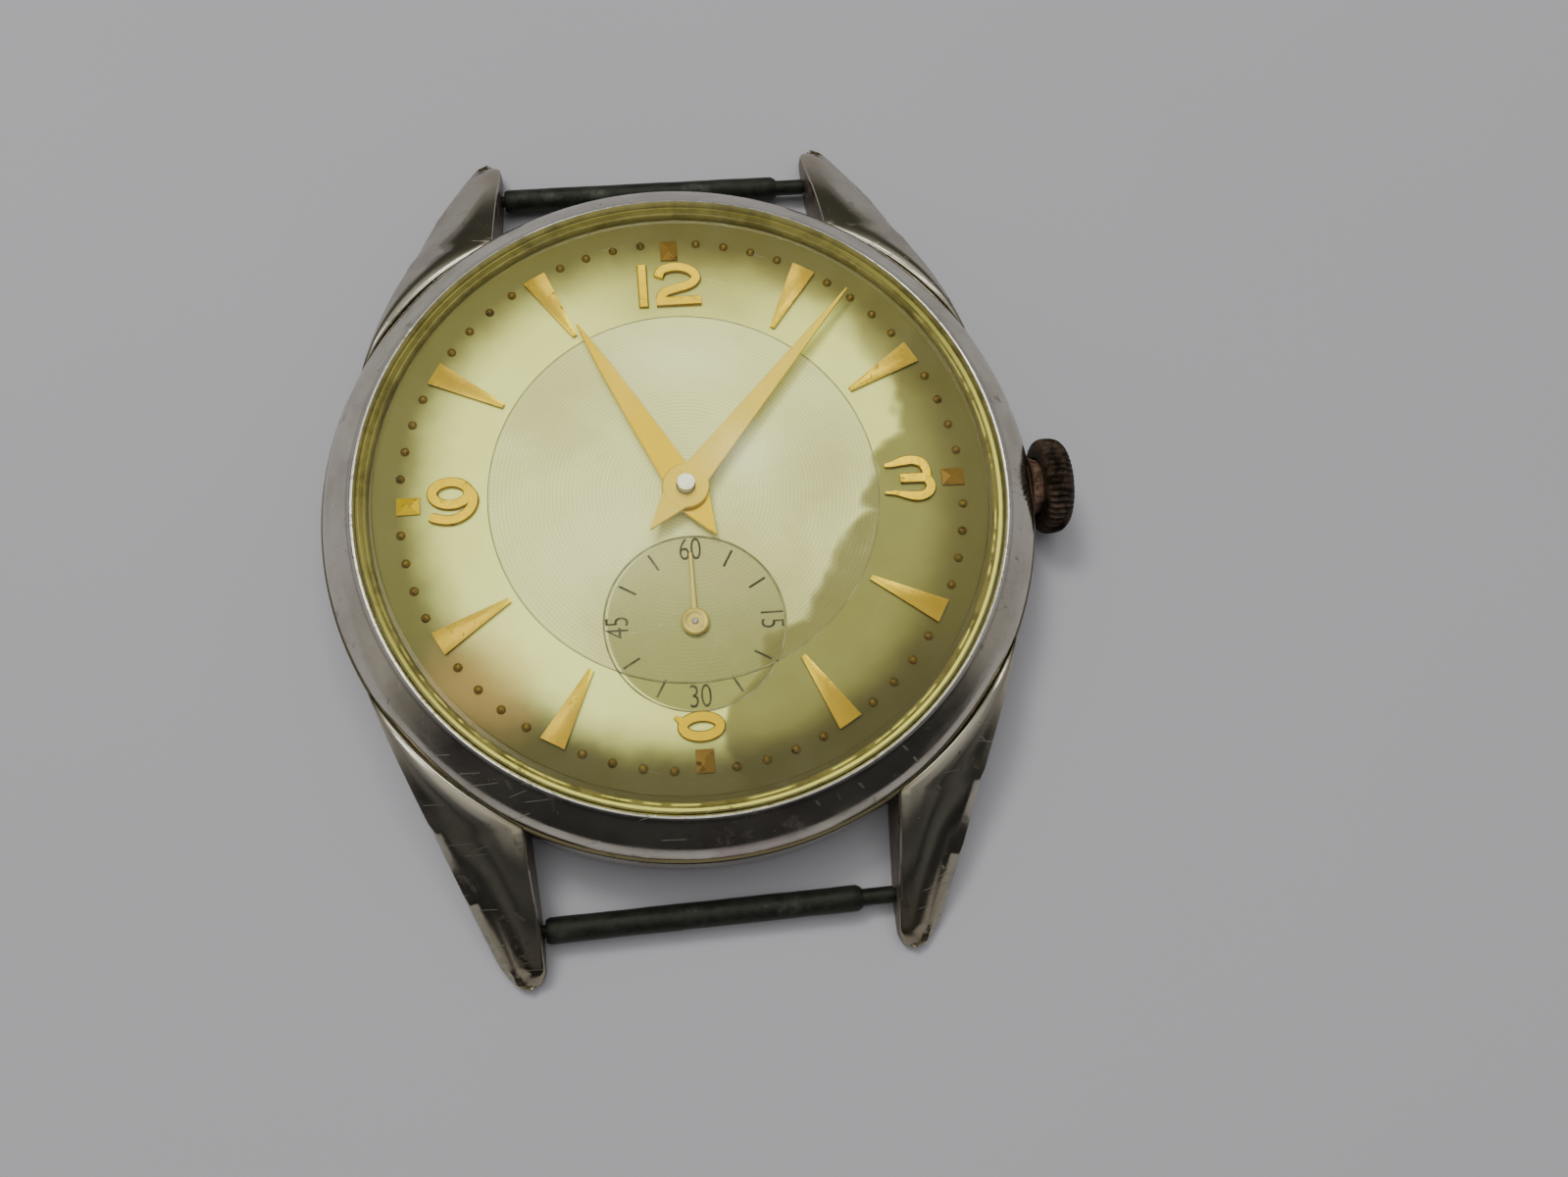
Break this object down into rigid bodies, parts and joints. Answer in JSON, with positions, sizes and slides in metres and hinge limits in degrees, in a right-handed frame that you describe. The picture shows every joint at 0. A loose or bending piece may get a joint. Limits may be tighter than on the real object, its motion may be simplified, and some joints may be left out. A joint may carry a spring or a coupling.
{
  "type": "wristwatch",
  "caption": "Hand-wound wristwatch head with small seconds at six, domed crystal, faceted hands, knurled crown and sprung strap bars between its lugs.",
  "frame": {"origin": "the middle of the case back's flat underside, on the axis of the hands", "axes": "+Z towards the crystal, +Y to 12 o'clock, +X to 3 o'clock and the crown"},
  "size_m": [0.0402, 0.0478, 0.0093],
  "materials": {
    "case_metal": "worn polished plating",
    "steel": "brushed steel",
    "blued_steel": "heat-blued steel",
    "brass": "cut brass",
    "gilt": "frosted gilt",
    "nickel": "nickel-plated brass",
    "acrylic": "scratched clear acrylic",
    "dial_paint": "aged champagne lacquer over brass",
    "hand_gilt": "faceted gilt",
    "oxide": "oxidised steel",
    "crown_metal": "corroded steel",
    "tube_metal": "corroded brass"
  },
  "bodies": {
    "case": {"case_middle": "case_metal", "bezel": "case_metal", "crystal": "acrylic", "case_back": "steel", "case_tube": "tube_metal", "movement_ring": "brass", "dial": "dial_paint", "main_plate": "gilt", "barrel_bridge": "nickel", "train_bridge": "nickel", "balance_cock": "nickel", "pallet_cock": "nickel", "barrel_bridge_screw": "blued_steel", "train_bridge_screw": "blued_steel", "balance_cock_screw": "blued_steel", "crown_wheel_screw": "blued_steel", "click_spring": "blued_steel", "hairspring": "blued_steel"},
    "centre": {"minute_hand": "hand_gilt", "cannon_pinion": "steel", "centre_arbor": "steel", "centre_wheel": "brass"},
    "hour": {"hour_hand": "hand_gilt", "hour_wheel": "brass"},
    "minute_work": {"minute_wheel": "brass"},
    "setting_work": {"setting_wheel": "steel"},
    "third": {"third_arbor": "steel", "third_wheel": "brass"},
    "fourth": {"seconds_hand": "hand_gilt", "fourth_arbor": "steel", "fourth_wheel": "brass"},
    "escape": {"escape_arbor": "steel", "escape_wheel": "brass"},
    "barrel": {"barrel_drum": "brass", "barrel_cover": "brass", "mainspring": "blued_steel"},
    "pallets": {"pallet_fork": "steel"},
    "balance": {"balance_wheel": "gilt", "balance_staff": "steel"},
    "regulator": {"regulator": "steel"},
    "click": {"click": "steel"},
    "winding": {"winding_pinion": "steel"},
    "crown": {"crown": "crown_metal", "stem": "steel"},
    "clutch": {"clutch_wheel": "steel"},
    "crown_wheel": {"crown_wheel": "steel"},
    "ratchet": {"ratchet_wheel": "steel", "ratchet_screw": "blued_steel", "barrel_arbor": "steel"},
    "setting_lever": {"setting_lever": "steel"},
    "yoke": {"yoke": "steel"},
    "bar_12": {"bar_12_tube": "oxide", "bar_12_spring": "steel"},
    "bar_12_left": {"bar_12_tip_left": "oxide"},
    "bar_12_right": {"bar_12_tip_right": "oxide"},
    "bar_6": {"bar_6_tube": "oxide", "bar_6_spring": "steel"},
    "bar_6_left": {"bar_6_tip_left": "oxide"},
    "bar_6_right": {"bar_6_tip_right": "oxide"}
  },
  "joints": [
    {"name": "minute_hand_turn", "type": "hinge", "parent": "case", "child": "centre", "pos_m": [0, 0, 0], "axis": [0, 0, 1], "continuous": true},
    {"name": "hour_hand_turn", "type": "hinge", "parent": "case", "child": "hour", "pos_m": [0, 0, 0], "axis": [0, 0, 1], "continuous": true},
    {"name": "minute_wheel_turn", "type": "hinge", "parent": "case", "child": "minute_work", "pos_m": [0.00244, 0.00089, 0], "axis": [0, 0, 1], "continuous": true},
    {"name": "setting_wheel_turn", "type": "hinge", "parent": "case", "child": "setting_work", "pos_m": [0.00535, 0.00011, 0], "axis": [0, 0, 1], "continuous": true},
    {"name": "third_wheel_turn", "type": "hinge", "parent": "case", "child": "third", "pos_m": [0.0022, -0.00393, 0], "axis": [0, 0, 1], "continuous": true},
    {"name": "seconds_hand_turn", "type": "hinge", "parent": "case", "child": "fourth", "pos_m": [-0.00014, -0.00705, 0], "axis": [0, 0, 1], "continuous": true},
    {"name": "escape_wheel_turn", "type": "hinge", "parent": "case", "child": "escape", "pos_m": [-0.00373, -0.00843, 0], "axis": [0, 0, 1], "continuous": true},
    {"name": "barrel_turn", "type": "hinge", "parent": "case", "child": "barrel", "pos_m": [0.00294, 0.00509, 0], "axis": [0, 0, 1], "continuous": true},
    {"name": "pallet_fork_swing", "type": "hinge", "parent": "case", "child": "pallets", "pos_m": [-0.00471, -0.00631, 0], "axis": [0, 0, 1], "range_deg": [-5, 5]},
    {"name": "balance_swing", "type": "hinge", "parent": "case", "child": "balance", "pos_m": [-0.0066, -0.0022, 0], "axis": [0, 0, 1], "range_deg": [-270, 270], "stiffness_Nm_per_rad": 0.0000002, "deforming": ["hairspring"]},
    {"name": "regulator_turn", "type": "hinge", "parent": "case", "child": "regulator", "pos_m": [-0.0066, -0.0022, 0], "axis": [0, 0, 1], "range_deg": [-15, 15]},
    {"name": "click_lift", "type": "hinge", "parent": "case", "child": "click", "pos_m": [-0.00281, 0.00663, 0], "axis": [0, 0, 1], "range_deg": [-12, 0], "stiffness_Nm_per_rad": 0.000005},
    {"name": "crown_turn", "type": "hinge", "parent": "case", "child": "winding", "pos_m": [0, 0, 0.0028], "axis": [1, 0, 0], "continuous": true},
    {"name": "crown_pull", "type": "slide", "parent": "winding", "child": "crown", "axis": [1, 0, 0], "range_m": [0, 0.0008]},
    {"name": "clutch_slide", "type": "slide", "parent": "winding", "child": "clutch", "axis": [-1, 0, 0], "range_m": [0, 0.0006]},
    {"name": "setting_lever_swing", "type": "hinge", "parent": "case", "child": "setting_lever", "pos_m": [0.0099, -0.0032, 0], "axis": [0, 0, -1], "range_deg": [0, 15]},
    {"name": "yoke_swing", "type": "hinge", "parent": "case", "child": "yoke", "pos_m": [0.0064, -0.0033, 0], "axis": [0, 0, 1], "range_deg": [0, 11]},
    {"name": "crown_wheel_turn", "type": "hinge", "parent": "case", "child": "crown_wheel", "pos_m": [0.0082, 0, 0], "axis": [0, 0, 1], "continuous": true},
    {"name": "ratchet_turn", "type": "hinge", "parent": "case", "child": "ratchet", "pos_m": [0.00294, 0.00509, 0], "axis": [0, 0, 1], "continuous": true},
    {"name": "bar_12_spin", "type": "hinge", "parent": "case", "child": "bar_12", "pos_m": [0, 0.02112, 0.001], "axis": [1, 0, 0], "continuous": true},
    {"name": "bar_12_tip_left_press", "type": "slide", "parent": "bar_12", "child": "bar_12_left", "axis": [1, 0, 0], "range_m": [0, 0.0009], "stiffness_N_per_m": 300, "springref_m": -0.002, "deforming": ["bar_12_spring"]},
    {"name": "bar_12_tip_right_press", "type": "slide", "parent": "bar_12", "child": "bar_12_right", "axis": [-1, 0, 0], "range_m": [0, 0.0009], "stiffness_N_per_m": 300, "springref_m": -0.002, "deforming": ["bar_12_spring"]},
    {"name": "bar_6_spin", "type": "hinge", "parent": "case", "child": "bar_6", "pos_m": [0, -0.02112, 0.001], "axis": [1, 0, 0], "continuous": true},
    {"name": "bar_6_tip_left_press", "type": "slide", "parent": "bar_6", "child": "bar_6_left", "axis": [1, 0, 0], "range_m": [0, 0.0009], "stiffness_N_per_m": 300, "springref_m": -0.002, "deforming": ["bar_6_spring"]},
    {"name": "bar_6_tip_right_press", "type": "slide", "parent": "bar_6", "child": "bar_6_right", "axis": [-1, 0, 0], "range_m": [0, 0.0009], "stiffness_N_per_m": 300, "springref_m": -0.002, "deforming": ["bar_6_spring"]}
  ],
  "couplings": [
    {"joint": "hour_hand_turn", "follows": "minute_hand_turn", "ratio": 0.083333},
    {"joint": "minute_wheel_turn", "follows": "minute_hand_turn", "ratio": -0.33333},
    {"joint": "setting_wheel_turn", "follows": "minute_hand_turn", "ratio": 0.61538},
    {"joint": "third_wheel_turn", "follows": "minute_hand_turn", "ratio": -8},
    {"joint": "seconds_hand_turn", "follows": "minute_hand_turn", "ratio": 60},
    {"joint": "escape_wheel_turn", "follows": "minute_hand_turn", "ratio": -600},
    {"joint": "barrel_turn", "follows": "minute_hand_turn", "ratio": -0.16667},
    {"joint": "crown_wheel_turn", "follows": "crown_turn", "ratio": -1},
    {"joint": "ratchet_turn", "follows": "crown_turn", "ratio": 0.53333},
    {"joint": "clutch_slide", "follows": "crown_pull", "ratio": 0.75},
    {"joint": "setting_lever_swing", "follows": "crown_pull", "rad_per_m": 326.92},
    {"joint": "yoke_swing", "follows": "crown_pull", "rad_per_m": 239.74}
  ]
}
